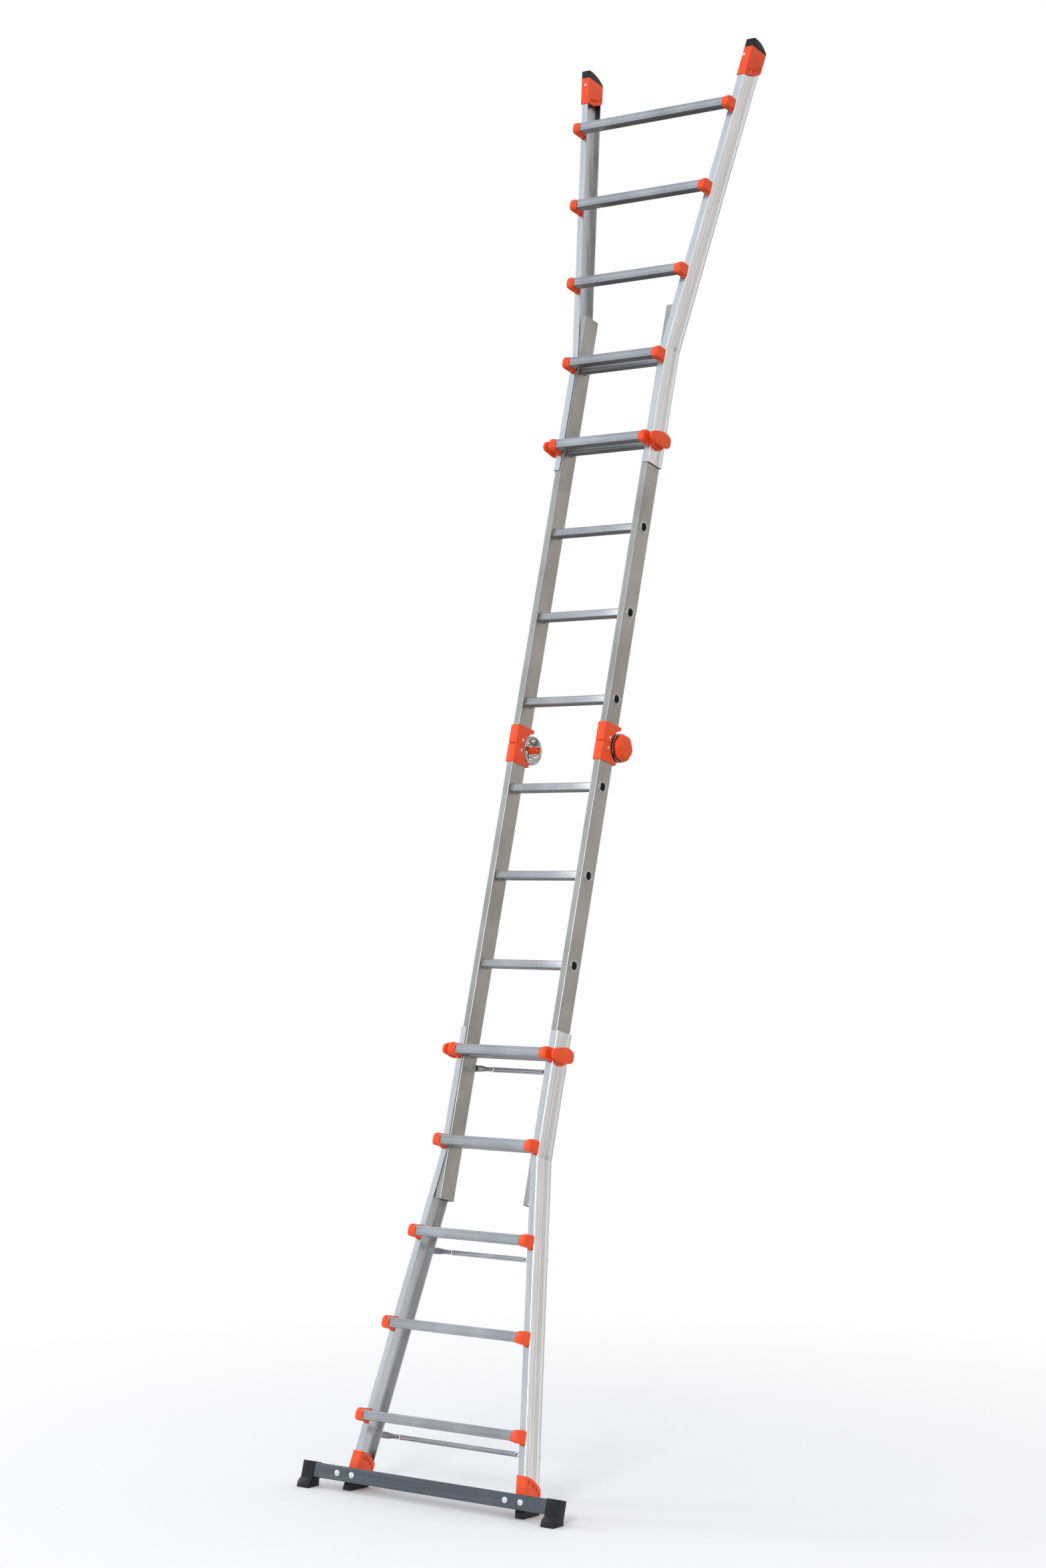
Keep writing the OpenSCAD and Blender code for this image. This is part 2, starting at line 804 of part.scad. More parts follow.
module lower_left_lock_pin() color(bright) section_of(false) side_of(false) lock_pin();
module lower_right_lock_knob() color(orange) section_of(false) side_of(true) lock_knob(-1);
module lower_right_lock_pin() color(bright) section_of(false) side_of(true) lock_pin();
module upper_left_lock_knob() color(orange) section_of(true) side_of(false) lock_knob(1);
module upper_left_lock_pin() color(bright) section_of(true) side_of(false) lock_pin();
module upper_right_lock_knob() color(orange) section_of(true) side_of(true) lock_knob(1);
module upper_right_lock_pin() color(bright) section_of(true) side_of(true) lock_pin();
module left_hinge_knob() color(orange) leaned() side_of(false) hinge_knob();
module left_hinge_spindle() color(orange) leaned() side_of(false) hinge_spindle();
module left_release_plate() color(bright) leaned() side_of(false) release_plate();
module right_hinge_knob() color(orange) leaned() side_of(true) hinge_knob();
module right_hinge_spindle() color(orange) leaned() side_of(true) hinge_spindle();
module right_release_plate() color(bright) leaned() side_of(true) release_plate();

module both_boots() {
  side_of(false) boot(screw_left);
  side_of(true) boot(screw_right);
}

module both_boot_screws() {
  side_of(false) boot_screw(screw_left);
  side_of(true) boot_screw(screw_right);
}

module bolt_pair() {
  bar_bolt(bolt_in);
  bar_bolt(bolt_out);
}

lower_left_outer_rail();
lower_right_outer_rail();
lower_rung_1();
lower_rung_2();
lower_rung_3();
lower_rung_4();
lower_rung_5();
lower_rung_caps();
lower_rung_rivets();
lower_boots();
lower_feet();
lower_boot_screws();
stabiliser_bar();
bar_feet();
bar_bolts();
bar_clamps();
brace_rods();
brace_rivets();
lower_lock_bushes();
lower_left_inner_rail();
lower_right_inner_rail();
lower_inner_rungs();
lower_hinge_housings();
lower_housing_rivets();
lower_hinge_discs();
hinge_bushes();
upper_left_inner_rail();
upper_right_inner_rail();
upper_inner_rungs();
upper_hinge_housings();
upper_housing_rivets();
upper_hinge_dishes();
upper_left_outer_rail();
upper_right_outer_rail();
upper_rung_1();
upper_rung_2();
upper_rung_3();
upper_rung_4();
upper_rung_5();
upper_rung_caps();
upper_rung_rivets();
upper_boots();
upper_end_caps();
upper_boot_screws();
upper_lock_bushes();
lower_left_lock_knob();
lower_left_lock_pin();
lower_right_lock_knob();
lower_right_lock_pin();
upper_left_lock_knob();
upper_left_lock_pin();
upper_right_lock_knob();
upper_right_lock_pin();
left_hinge_knob();
left_hinge_spindle();
left_release_plate();
right_hinge_knob();
right_hinge_spindle();
right_release_plate();
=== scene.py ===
import json
import math
import bpy
import bmesh
from mathutils import Matrix, Vector


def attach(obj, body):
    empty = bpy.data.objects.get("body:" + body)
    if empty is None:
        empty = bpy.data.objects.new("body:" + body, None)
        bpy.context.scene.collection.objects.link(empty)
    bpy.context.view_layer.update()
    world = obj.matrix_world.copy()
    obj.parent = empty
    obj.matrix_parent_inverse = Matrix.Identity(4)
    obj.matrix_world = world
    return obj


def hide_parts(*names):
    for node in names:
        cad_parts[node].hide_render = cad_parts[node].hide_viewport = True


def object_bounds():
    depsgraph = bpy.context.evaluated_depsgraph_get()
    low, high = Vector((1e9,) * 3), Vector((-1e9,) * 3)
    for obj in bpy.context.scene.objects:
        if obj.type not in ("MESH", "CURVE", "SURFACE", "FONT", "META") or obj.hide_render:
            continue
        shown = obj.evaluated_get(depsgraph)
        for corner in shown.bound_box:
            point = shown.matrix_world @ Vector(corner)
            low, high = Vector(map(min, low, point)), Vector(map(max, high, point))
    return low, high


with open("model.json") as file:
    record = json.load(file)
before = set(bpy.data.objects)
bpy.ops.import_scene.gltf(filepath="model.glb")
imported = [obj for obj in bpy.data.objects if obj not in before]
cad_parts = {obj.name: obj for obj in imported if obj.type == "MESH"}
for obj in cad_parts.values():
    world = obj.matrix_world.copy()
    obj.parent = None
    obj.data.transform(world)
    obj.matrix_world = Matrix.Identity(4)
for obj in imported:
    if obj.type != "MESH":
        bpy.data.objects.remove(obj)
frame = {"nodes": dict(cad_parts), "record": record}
cad_low, cad_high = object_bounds()

# ---------------------------------------------------------------- the ladder's own frame
# u across, v from the climbing side to the back, w up the rails from the centre hinge, in millimetres

RUNG_PITCH = 280.0
RUNGS = 5                       # in each section
FIRST = 3.5 * RUNG_PITCH        # the outer rung nearest the hinge, and the slide locks
RAIL_OUT = 188.0                # outer faces of the outer rails before the kink
RAIL_START = 905.0
KINK = 1290.0
FLARE = math.radians(8.53)
RAIL_END = 2290.0
LIP_W = 24.3                    # width of an outer rail's two lips
LIP_FRONT = -3.5                # front face of the front lip
LIP_BACK = 70.2                 # back face of the back lip
INNER_V = 32.0                  # middle of the inner rungs
HINGE_V = 90.0                  # hinge axis
DISC_R = 45.5                   # dishes, discs and release plates
SPINDLE_R = 11.5
BRACE_ROWS = (1020.0, 1585.0, 2148.0)
ROD_FRONT = 70.25               # front of the brace rods
BAR_W = 2281.0
BAR_BOLTS = (293.0, 350.0)
SCREW_W = 2275.0
SCREWS = (-322.0, 314.5)
SIDES = (-1, 1)
MM = 0.001

JOINTS = {j["name"]: j for j in frame["record"]["behaviour"]["joints"]}
UP = -Vector(JOINTS["lower_extension"]["axis"]).normalized()
ACROSS = Vector((1, 0, 0))
BACK = Vector((0.0, UP.z, -UP.y))
ORIGIN = Vector(JOINTS["fold"]["pos_m"]) - BACK * HINGE_V * MM
LEAN = math.atan2(UP.y, UP.z)


def at(u, v, w):
    return ORIGIN + Vector((u * MM, 0, 0)) + BACK * (v * MM) + UP * (w * MM)


def rail_face(z):
    """Outer face of an outer rail at a distance from the hinge."""
    return RAIL_OUT if z < KINK else RAIL_OUT + (z - KINK) * math.tan(FLARE)


def rail_mid(z):
    """Middle of an outer rail's lips."""
    return rail_face(z) - LIP_W / 2 / (1 if z < KINK else math.cos(FLARE))


def end_name(side):
    return "right" if side > 0 else "left"


def circle(steps):
    return (2 * math.pi * i / steps for i in range(steps))


# ---------------------------------------------------------------- material nodes

def new_material(name):
    mat = bpy.data.materials.new(name)
    mat.use_nodes = True
    tree = mat.node_tree
    shader = tree.nodes["Principled BSDF"]
    return mat, tree, shader


def node(tree, kind, **values):
    n = tree.nodes.new(kind)
    for key, value in values.items():
        setattr(n, key, value)
    return n


def stretched(tree, vector, scale):
    n = node(tree, "ShaderNodeMapping")
    n.inputs["Scale"].default_value = scale
    tree.links.new(vector, n.inputs["Vector"])
    return n.outputs["Vector"]


def lengthwise(tree, scale):
    """Coordinates turned to the ladder's lean and stretched by scale."""
    coord = node(tree, "ShaderNodeTexCoord")
    turned = node(tree, "ShaderNodeMapping")
    turned.inputs["Rotation"].default_value = (LEAN, 0, 0)
    tree.links.new(coord.outputs["Object"], turned.inputs["Vector"])
    return stretched(tree, turned.outputs["Vector"], scale)


def noise(tree, vector, scale, detail=4.0, rough=0.55):
    n = node(tree, "ShaderNodeTexNoise")
    n.inputs["Scale"].default_value = scale
    n.inputs["Detail"].default_value = detail
    n.inputs["Roughness"].default_value = rough
    tree.links.new(vector, n.inputs["Vector"])
    return n.outputs["Fac"]


def ramp(tree, fac, stops):
    n = node(tree, "ShaderNodeValToRGB")
    while len(n.color_ramp.elements) < len(stops):
        n.color_ramp.elements.new(0.5)
    for e, (p, c) in zip(n.color_ramp.elements, stops):
        e.position = p
        e.color = tuple(c) + (1.0,)
    tree.links.new(fac, n.inputs["Fac"])
    return n.outputs["Color"]


def grey(value):
    return (value, value, value)


def spread(tree, fac, low, high, from_low=0.3, from_high=0.7):
    n = node(tree, "ShaderNodeMapRange")
    n.inputs["From Min"].default_value = from_low
    n.inputs["From Max"].default_value = from_high
    n.inputs["To Min"].default_value = low
    n.inputs["To Max"].default_value = high
    tree.links.new(fac, n.inputs["Value"])
    return n.outputs["Result"]


def mixed(tree, a, b, factor):
    n = node(tree, "ShaderNodeMix", data_type="FLOAT")
    n.inputs["Factor"].default_value = factor
    tree.links.new(a, n.inputs["A"])
    tree.links.new(b, n.inputs["B"])
    return n.outputs["Result"]


def multiplied(tree, a, b):
    n = node(tree, "ShaderNodeMix", data_type="RGBA", blend_type="MULTIPLY")
    n.inputs["Factor"].default_value = 1.0
    tree.links.new(a, n.inputs["A"])
    tree.links.new(b, n.inputs["B"])
    return n.outputs["Result"]


def bump(tree, height, shader, strength, distance):
    n = node(tree, "ShaderNodeBump")
    n.inputs["Strength"].default_value = strength
    n.inputs["Distance"].default_value = distance
    tree.links.new(height, n.inputs["Height"])
    tree.links.new(n.outputs["Normal"], shader.inputs["Normal"])


# ---------------------------------------------------------------- materials

def drawn_metal(name, dark, light, rough, scale, metallic=1.0, streak=0.35, patch=7.0):
    """Extruded or drawn metal: fine lines one way, soft patches, and duller streaks."""
    mat, tree, shader = new_material(name)
    lines = noise(tree, lengthwise(tree, scale), 1.0, detail=6.0, rough=0.6)
    coord = node(tree, "ShaderNodeTexCoord")
    cloud = noise(tree, coord.outputs["Object"], patch, detail=3.0, rough=0.5)
    colour = ramp(tree, mixed(tree, cloud, lines, streak), [(0.34, dark), (0.66, light)])
    tree.links.new(colour, shader.inputs["Base Color"])
    shader.inputs["Metallic"].default_value = metallic
    tree.links.new(spread(tree, lines, rough - 0.07, rough + 0.09), shader.inputs["Roughness"])
    bump(tree, lines, shader, strength=0.12, distance=0.0004)
    return mat


def moulded(name, colour, shade, rough, grain=900.0, strength=0.12):
    """Moulded plastic or rubber: fine grain, slight mottling, and paler worn patches."""
    mat, tree, shader = new_material(name)
    coord = node(tree, "ShaderNodeTexCoord")
    soft = noise(tree, coord.outputs["Object"], 28.0, detail=4.0, rough=0.6)
    fine = noise(tree, coord.outputs["Object"], grain, detail=3.0, rough=0.6)
    col = ramp(tree, soft, [(0.3, shade), (0.7, colour)])
    tree.links.new(col, shader.inputs["Base Color"])
    tree.links.new(spread(tree, soft, rough - 0.06, rough + 0.08), shader.inputs["Roughness"])
    shader.inputs["Specular IOR Level"].default_value = 0.35
    bump(tree, fine, shader, strength=strength, distance=0.0003)
    return mat


def rail_material():
    """Extruded rail: streaks run along it, and bands round the profile are painted lighter and darker as
    highlights and shade on the ribs.
    """
    mat, tree, shader = new_material("drawn_rail_aluminium")
    uv = node(tree, "ShaderNodeUVMap", uv_map="along").outputs["UV"]
    streaks = noise(tree, stretched(tree, uv, (2.0, 620.0, 1.0)), 1.0, detail=5.0, rough=0.6)
    cloud = noise(tree, stretched(tree, uv, (5.5, 60.0, 1.0)), 1.0, detail=3.0, rough=0.5)
    split = node(tree, "ShaderNodeSeparateXYZ")
    tree.links.new(uv, split.inputs["Vector"])
    # 0 to 1 over the first 0.1 m round the profile: the outer side, then the back lip
    around = spread(tree, split.outputs["Y"], 0.0, 1.0, 0.0, 0.1)
    # painted highlights and painted shade: bright and dark bands round the outer side and back lip stand
    # for where light catches or misses the ribs
    painted_light_bands = ((0.0, 0.90), (0.03, 1.0), (0.10, 0.94), (0.13, 0.66), (0.16, 0.92), (0.25, 0.86),
             (0.29, 0.62), (0.33, 0.98), (0.40, 0.74), (0.46, 0.78), (0.56, 0.70), (0.60, 1.0),
             (0.68, 0.98), (0.71, 0.64), (0.80, 0.66), (0.86, 0.76), (1.0, 0.66))
    tone = ramp(tree, around, [(p, (c * 0.985, c * 0.99, c)) for p, c in painted_light_bands])
    both = mixed(tree, cloud, streaks, 0.45)
    worn = ramp(tree, both, [(0.33, (0.80, 0.80, 0.81)), (0.62, grey(1.0))])
    tree.links.new(multiplied(tree, tone, worn), shader.inputs["Base Color"])
    shader.inputs["Metallic"].default_value = 1.0
    tree.links.new(spread(tree, both, 0.20, 0.36), shader.inputs["Roughness"])
    bump(tree, streaks, shader, strength=0.10, distance=0.0003)
    return mat


ALONG_RUNG = 3.0                # lines per metre along a drawn piece; across it the count is far higher

MAT = {
    "rail": rail_material(),
    "inner": drawn_metal("satin_inner_rail", (0.33, 0.318, 0.29), (0.46, 0.445, 0.417), 0.34,
                         (240, 240, 3.0)),
    "rung": drawn_metal("ribbed_rung_aluminium", (0.34, 0.345, 0.355), (0.52, 0.525, 0.54), 0.32,
                        (ALONG_RUNG, 420, 420)),
    "rung_in": drawn_metal("plain_rung_aluminium", (0.33, 0.33, 0.335), (0.50, 0.50, 0.505), 0.32,
                           (ALONG_RUNG, 300, 300)),
    "rod": drawn_metal("brace_rod_aluminium", (0.36, 0.37, 0.38), (0.60, 0.61, 0.62), 0.28,
                       (5.0, 300, 300)),
    "chrome": drawn_metal("pressed_bright_steel", (0.30, 0.30, 0.28), (0.62, 0.63, 0.61), 0.17,
                          (90, 90, 90), patch=45.0),
    "zinc": drawn_metal("bright_zinc", (0.66, 0.67, 0.68), (0.92, 0.92, 0.92), 0.20,
                        (400, 400, 400), patch=60.0),
    "slate": drawn_metal("slate_painted_bar", (0.052, 0.064, 0.078), (0.090, 0.110, 0.130), 0.42,
                         (ALONG_RUNG, 380, 380), metallic=0.25, streak=0.6),
    "orange": moulded("orange_moulding", (1.0, 0.098, 0.018), (0.93, 0.078, 0.012), 0.42),
    "rubber": moulded("black_rubber", (0.007, 0.008, 0.010), (0.003, 0.003, 0.004), 0.42,
                      grain=500.0, strength=0.3),
    # painted shade: near-black for plates and plugs set in openings to stand for the shade inside them
    "hole_shade": moulded("hollow_painted_shade", grey(0.004), grey(0.002), 0.9),
    # painted shade: a darker orange for the seam lines on the lock wings
    "shade": moulded("orange_painted_shade", (0.42, 0.035, 0.010), (0.36, 0.03, 0.008), 0.5),
}


# ---------------------------------------------------------------- mesh building

def finish_mesh(bm, name, look, body, replaced=(), smooth=35.0):
    """Turns a bmesh in row metres into a piece that rides on a body."""
    bmesh.ops.recalc_face_normals(bm, faces=bm.faces)
    mesh = bpy.data.meshes.new(name)
    bm.to_mesh(mesh)
    bm.free()
    for p in mesh.polygons:
        p.use_smooth = True
    mesh.set_sharp_from_angle(angle=math.radians(smooth))
    piece = bpy.data.objects.new(name, mesh)
    bpy.context.scene.collection.objects.link(piece)
    mesh.materials.append(MAT[look])
    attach(piece, body)
    if replaced:
        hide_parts(*replaced)


def rounded(x0, x1, y0, y1, radii, steps=5):
    """Closed outline with its own radius at each corner: (x0 y0, x1 y0, x1 y1, x0 y1)."""
    corners = ((x0, y0, 180), (x1, y0, 270), (x1, y1, 0), (x0, y1, 90))
    points = []
    for (x, y, start), r in zip(corners, radii):
        cx = x + r if x == x0 else x - r
        cy = y + r if y == y0 else y - r
        for i in range(steps + 1):
            a = math.radians(start + 90 * i / steps)
            points.append((cx + r * math.cos(a), cy + r * math.sin(a)))
    return points


def loft(bm, rings):
    """Joins rings of row points with quads and closes both ends; the rings match in length."""
    rows = [[bm.verts.new(p) for p in ring] for ring in rings]
    n = len(rows[0])
    for a, b in zip(rows, rows[1:]):
        for i in range(n):
            bm.faces.new((a[i], a[(i + 1) % n], b[(i + 1) % n], b[i]))
    bm.faces.new(list(reversed(rows[0])))
    bm.faces.new(rows[-1])
    return rows


def lathe(bm, profile, centre, axis, side_a, side_b, steps):
    """Turns (radius, distance) pairs about an axis; a ring of radius 0 is a single point."""
    rows = []
    for r, d in profile:
        base = centre + axis * (d * MM)
        if r == 0:
            rows.append([bm.verts.new(base)])
            continue
        rows.append([bm.verts.new(base + (side_a * math.cos(a) + side_b * math.sin(a)) * (r * MM))
                     for a in circle(steps)])
    for a, b in zip(rows, rows[1:]):
        for i in range(steps):
            j = (i + 1) % steps
            if len(a) == 1:
                bm.faces.new((a[0], b[j], b[i]))
            elif len(b) == 1:
                bm.faces.new((a[i], a[j], b[0]))
            else:
                bm.faces.new((a[i], a[j], b[j], b[i]))


def across_lathe(bm, profile, v, w, side, steps=48):
    """Turned about an axis across the ladder; distances are measured from mid-width outwards."""
    lathe(bm, profile, at(0, v, w), ACROSS * side, BACK, UP, steps)


def front_lathe(bm, profile, u, w, steps=32):
    """Turned about an axis from front to back; distances are v."""
    lathe(bm, profile, at(u, 0, w), BACK, ACROSS, UP, steps)


def softened(name, source, look, body, width, segments=3):
    """A copy of a CAD node with its flat faces merged and its sharp edges rounded."""
    bm = bmesh.new()
    bm.from_mesh(frame["nodes"][source].data)
    bm.transform(frame["nodes"][source].matrix_world)
    bmesh.ops.remove_doubles(bm, verts=bm.verts, dist=1e-5)
    bmesh.ops.dissolve_limit(bm, angle_limit=math.radians(1.0), verts=bm.verts, edges=bm.edges)
    sharp = math.radians(38.0)
    edges = [e for e in bm.edges if len(e.link_faces) == 2 and e.calc_face_angle(0.0) > sharp]
    bmesh.ops.bevel(bm, geom=edges, offset=width * MM, segments=segments, profile=0.5,
                    affect="EDGES", clamp_overlap=True)
    finish_mesh(bm, name, look, body, (source,), smooth=40.0)


# ---------------------------------------------------------------- outer rails

def rail_profile():
    """(t, v): t behind the outermost face. A rounded front corner, then ribs and hollows."""
    r, steps = 2.6, 5
    web = []
    for i in range(steps + 1):
        a = math.radians(270 + 90 * i / steps)
        web.append((-r + r * math.cos(a), LIP_FRONT + r + r * math.sin(a)))
    web += [(0, 6.5), (-0.15, 8.2), (-0.75, 8.8), (-0.75, 9.5), (-0.15, 10.1), (0, 12), (0, 20.5),
            (-0.25, 22.6), (-0.9, 24.2), (-1.2, 25.2), (-0.9, 26.2), (-0.2, 27.4), (0, 28.8),
            (-0.1, 34.6), (-0.5, 35.8), (-1.0, 36.8), (-1.05, 50.0), (-0.6, 51.3), (-0.1, 52.4),
            (0, 54.5), (0, 58.0), (-0.3, 59.8), (-0.9, 61.2), (-1.0, 62.0), (-1.05, 66.8),
            (-1.4, 68.4), (-2.2, 69.6), (-3.6, LIP_BACK)]
    lip_back = [(-LIP_W + 0.6, LIP_BACK), (-LIP_W, 69.6), (-LIP_W, 67.2), (-LIP_W + 0.6, 66.6)]
    inside = [(-4.9, 66.6), (-4.0, 66.2), (-3.7, 65.4), (-3.7, 0.6), (-4.0, -0.3), (-4.9, -0.6)]
    lip_front = [(-LIP_W + 0.6, -0.6), (-LIP_W, -1.1), (-LIP_W, -2.9), (-LIP_W + 0.6, LIP_FRONT)]
    return web + lip_back + inside + lip_front


def rail_stations():
    """Distances from the kink along the path, close together where it bends."""
    before = [RAIL_START - KINK, -250, -120, -60]
    bend = [-30, -18, -12, -8, -5, -2.5, 0, 2.5, 5, 8, 12, 18, 30]
    after = [60, 160, 320, 480, 640, 800, 920, (RAIL_END - KINK) / math.cos(FLARE)]
    return before + bend + after


def rail_path(s, bend=7.0):
    """Outermost face, distance from the hinge and share of the bend at s from the kink."""
    share = min(max((s + bend) / (2 * bend), 0.0), 1.0)
    if s <= -bend:
        return RAIL_OUT, KINK + s, share
    if s >= bend:
        return RAIL_OUT + s * math.sin(FLARE), KINK + s * math.cos(FLARE), share
    return (RAIL_OUT + (s + bend) ** 2 / (4 * bend) * math.sin(FLARE),
            KINK + s * (1 + (math.cos(FLARE) - 1) * share), share)


def rail_dent(s, t, v):
    """How far the press at the kink pushes a point of the web in."""
    dent = math.exp(-(s / 8.0) ** 2)
    middle = math.exp(-((v - 43.5) / 8.5) ** 2)
    if t > -3.0:
        return dent * (2.6 * middle + 0.5)
    if t > -5.0:
        return dent * 1.2 * middle
    return 0.0


def outer_rail(section, side, w_sign):
    bm = bmesh.new()
    profile, stations = rail_profile(), rail_stations()
    rings = []
    for s in stations:
        x, z, share = rail_path(s)
        angle = FLARE * share
        ring = []
        for t, v in profile:
            tt = t - rail_dent(s, t, v)
            ring.append(at(side * (x + tt * math.cos(angle)), v,
                           w_sign * (z - tt * math.sin(angle))))
        rings.append(ring)
    rows = loft(bm, rings)
    reach = [0.0]
    for (t0, v0), (t1, v1) in zip(profile, profile[1:] + profile[:1]):
        reach.append(reach[-1] + math.hypot(t1 - t0, v1 - v0) * MM)
    layer = bm.loops.layers.uv.new("along")
    place = {}
    for s, row in zip(stations, rows):
        for i, vert in enumerate(row):
            place[vert] = (s * MM, i)
    # each rail starts at its own place in the pattern
    shift = 1.7 if side > 0 else 0.0
    for face in bm.faces:
        seam = len(face.verts) == 4 and {place[v][1] for v in face.verts} == {0, len(profile) - 1}
        for corner in face.loops:
            s, i = place[corner.vert]
            corner[layer].uv = (s + shift + w_sign * 3.1, reach[-1] if seam and i == 0 else reach[i])
    name = "%s_%s_outer_rail" % (section, end_name(side))
    finish_mesh(bm, "drawn_" + name, "rail", section + "_outer", (name,), smooth=24.0)


# ---------------------------------------------------------------- outer rungs

def rung_profile():
    """(v, w) outline: rounded corners, grooved tread, fine lines along the top and foot of the front."""
    v0, v1, h, r = -42.7, -12.7, 14.5, 3.0
    pts = []

    def grooved(marks, width, depth, place):
        for m in marks:
            for off, d in ((-width, 0), (-width * 0.35, depth), (width * 0.35, depth), (width, 0)):
                pts.append(place(m + off, d))

    def corner(cx, cy, start):
        for i in range(6):
            a = math.radians(start + 18 * i)
            pts.append((cx + r * math.cos(a), cy + r * math.sin(a)))

    corner(v0 + r, -h + r, 180)
    grooved([-38, -17.4], 0.5, 0.3, lambda m, e: (m, -h + e))
    corner(v1 - r, -h + r, 270)
    corner(v1 - r, h - r, 0)
    grooved([-17, -21, -25, -29, -33, -37], 0.65, 0.5, lambda m, e: (m, h - e))
    corner(v0 + r, h - r, 90)
    grooved([-9.6, -7.6, 5.4, 7.6, 9.8], 0.42, 0.26, lambda m, e: (v0 + e, -m))
    return pts


def outer_rung(section, number, w_sign):
    z = FIRST + (RUNGS - number) * RUNG_PITCH
    half = rail_mid(z) + 8
    bm = bmesh.new()
    outline = rung_profile()
    loft(bm, [[at(u, v, w_sign * z + w) for v, w in outline] for u in (-half, half)])
    name = "%s_rung_%d" % (section, number)
    finish_mesh(bm, "grooved_" + name, "rung", section + "_outer", (name,), smooth=40.0)


# ---------------------------------------------------------------- rung caps

EAR_UP, EAR_DOWN = 21.6, 24.3   # reach of a cap's ears above and below its rung
EAR_IN, EAR_OUT = 13.0, 12.6    # and inboard and outboard of the lips' middle


def cap_outline(inset, steps=8):
    """Side outline of a cap's drum: big round nose at the top front, tighter below, straight back."""
    h = 19.5 - inset
    front, back = -48 + inset, -4.6 - inset * 0.4
    r_low, r_high, r_back = max(12.0 - inset, 1.0), max(16.5 - inset, 1.0), max(3.5 - inset, 0.6)
    return rounded(front, back, -h, h, (r_low, r_back, r_back, r_high), steps)


def crescent(v, h):
    """Relief that sweeps from the top of the nose down to the tongue."""
    a = math.atan2(h, v + 27.0)
    r = math.hypot(h, v + 27.0)
    return math.exp(-((r - 12.5) / 2.6) ** 2) * max(0.0, math.sin(a * 0.5 + 1.1))


def cap_ear_outline(steps=48):
    """(u, w) lobe that reaches inboard above the rung, with a tapering tongue below."""
    outline = []
    for a in circle(steps):
        c, s = math.cos(a), math.sin(a)
        if s >= 0:
            x = EAR_OUT * math.copysign(abs(c) ** 0.75, c) - 1.2 * s
            y = EAR_UP * s ** 0.8
        else:
            deep = (-s) ** 0.85
            x = 12.4 * math.copysign(abs(c) ** 0.8, c) * (1 - 0.35 * deep) + 2.4 * deep
            y = -EAR_DOWN * deep
        outline.append((max(min(x, EAR_OUT), -EAR_IN), max(min(y, EAR_UP), -EAR_DOWN)))
    return outline


def cap_piece(bm, side, z, w_sign):
    """Collar, drum with an embossed crescent, and the ears that hold the rail's front lip."""
    mid = rail_mid(z)
    w = w_sign * z
    # distance outboard of the lips' middle, and inset from the side outline
    collar = ((-12.4, 6.0), (-13.0, 4.6), (-13.1, 3.0), (-12.6, 2.2), (-4.4, 2.0), (-3.4, 1.6),
              (-2.9, 0.7), (-2.0, 0.1))
    drum = ((9.2, 0.0), (11.0, 0.5), (12.2, 1.6), (12.9, 3.0))
    face = ((13.1, 4.4), (13.0, 5.6), (12.9, 7.0), (12.9, 9.0), (13.0, 11.0), (13.2, 13.0),
            (13.2, 15.0), (13.1, 17.0))
    rings = []
    for plan, relief in ((collar + drum, 0.0), (face, 1.1)):
        for u, inset in plan:
            rings.append([at(side * (mid + (u + relief * crescent(v, h) if relief else u)), v, w + h)
                          for v, h in cap_outline(inset)])
    loft(bm, rings)
    outline = cap_ear_outline()
    depths = ((-12.8, 0.80), (-12.4, 0.90), (-11.4, 0.97), (-9.8, 1.0), (-5.6, 1.0), (-4.3, 0.98),
              (-3.56, 0.93))
    loft(bm, [[at(side * (mid + x * k), v, w + y * k) for x, y in outline] for v, k in depths])


def rung_caps(section, w_sign):
    bm = bmesh.new()
    for n in range(RUNGS):
        for side in SIDES:
            cap_piece(bm, side, FIRST + n * RUNG_PITCH, w_sign)
    finish_mesh(bm, section + "_moulded_caps", "orange", section + "_outer",
                (section + "_rung_caps",), smooth=42.0)


# ---------------------------------------------------------------- inner rung ends

def d_outline(r, flat, steps=48):
    """Circle with its front cut off straight."""
    return [(max(r * math.cos(a), -flat), r * math.sin(a)) for a in circle(steps)]


def bead(bm, outlines, side, base, w, tall):
    """Half-round ridge between a smaller and a larger outline on a rail's outer face."""
    (small, large), count, rows = outlines, 6, []
    for k in range(count + 1):
        t = k / count
        u = side * (base + tall * math.sin(math.pi * t))
        rows.append([bm.verts.new(at(u, INNER_V + p[0] + (q[0] - p[0]) * t,
                                     w + p[1] + (q[1] - p[1]) * t))
                     for p, q in zip(small, large)])
    rows.append(rows[0])
    for p, q in zip(rows, rows[1:]):
        for i in range(len(p)):
            j = (i + 1) % len(p)
            bm.faces.new((p[i], p[j], q[j], q[i]))


def rung_ends(section, w_sign):
    """Bright rolled edges round each swaged end, and near-black plates inside them as painted shade for
    the hollow of the rung.
    """
    lips, hollows = bmesh.new(), bmesh.new()
    oval = [[(r * 1.06 * v, r * 0.94 * h) for v, h in d_outline(1.0, 2.0)] for r in (17.6, 19.4)]
    opening = (d_outline(13.0, 11.2), d_outline(15.0, 13.2))
    for n in range(RUNGS):
        w = w_sign * (n + 0.5) * RUNG_PITCH
        for side in SIDES:
            bead(lips, opening, side, 183.5, w, 0.9)
            bead(lips, oval, side, 183.4, w, 0.6)
            # painted shade: a thin near-black plate at the rail's face stands in for the shade inside
            # the hollow rung
            loft(hollows, [[at(side * u, INNER_V + v * k, w + h * k) for v, h in d_outline(13.4, 11.6)]
                           for u, k in ((183.2, 1.0), (183.86, 1.0), (183.9, 0.98))])
    finish_mesh(lips, section + "_rolled_edges", "zinc", section + "_inner", smooth=60.0)
    finish_mesh(hollows, section + "_rung_hollow_shade", "hole_shade", section + "_inner", smooth=40.0)


# ---------------------------------------------------------------- brace rods

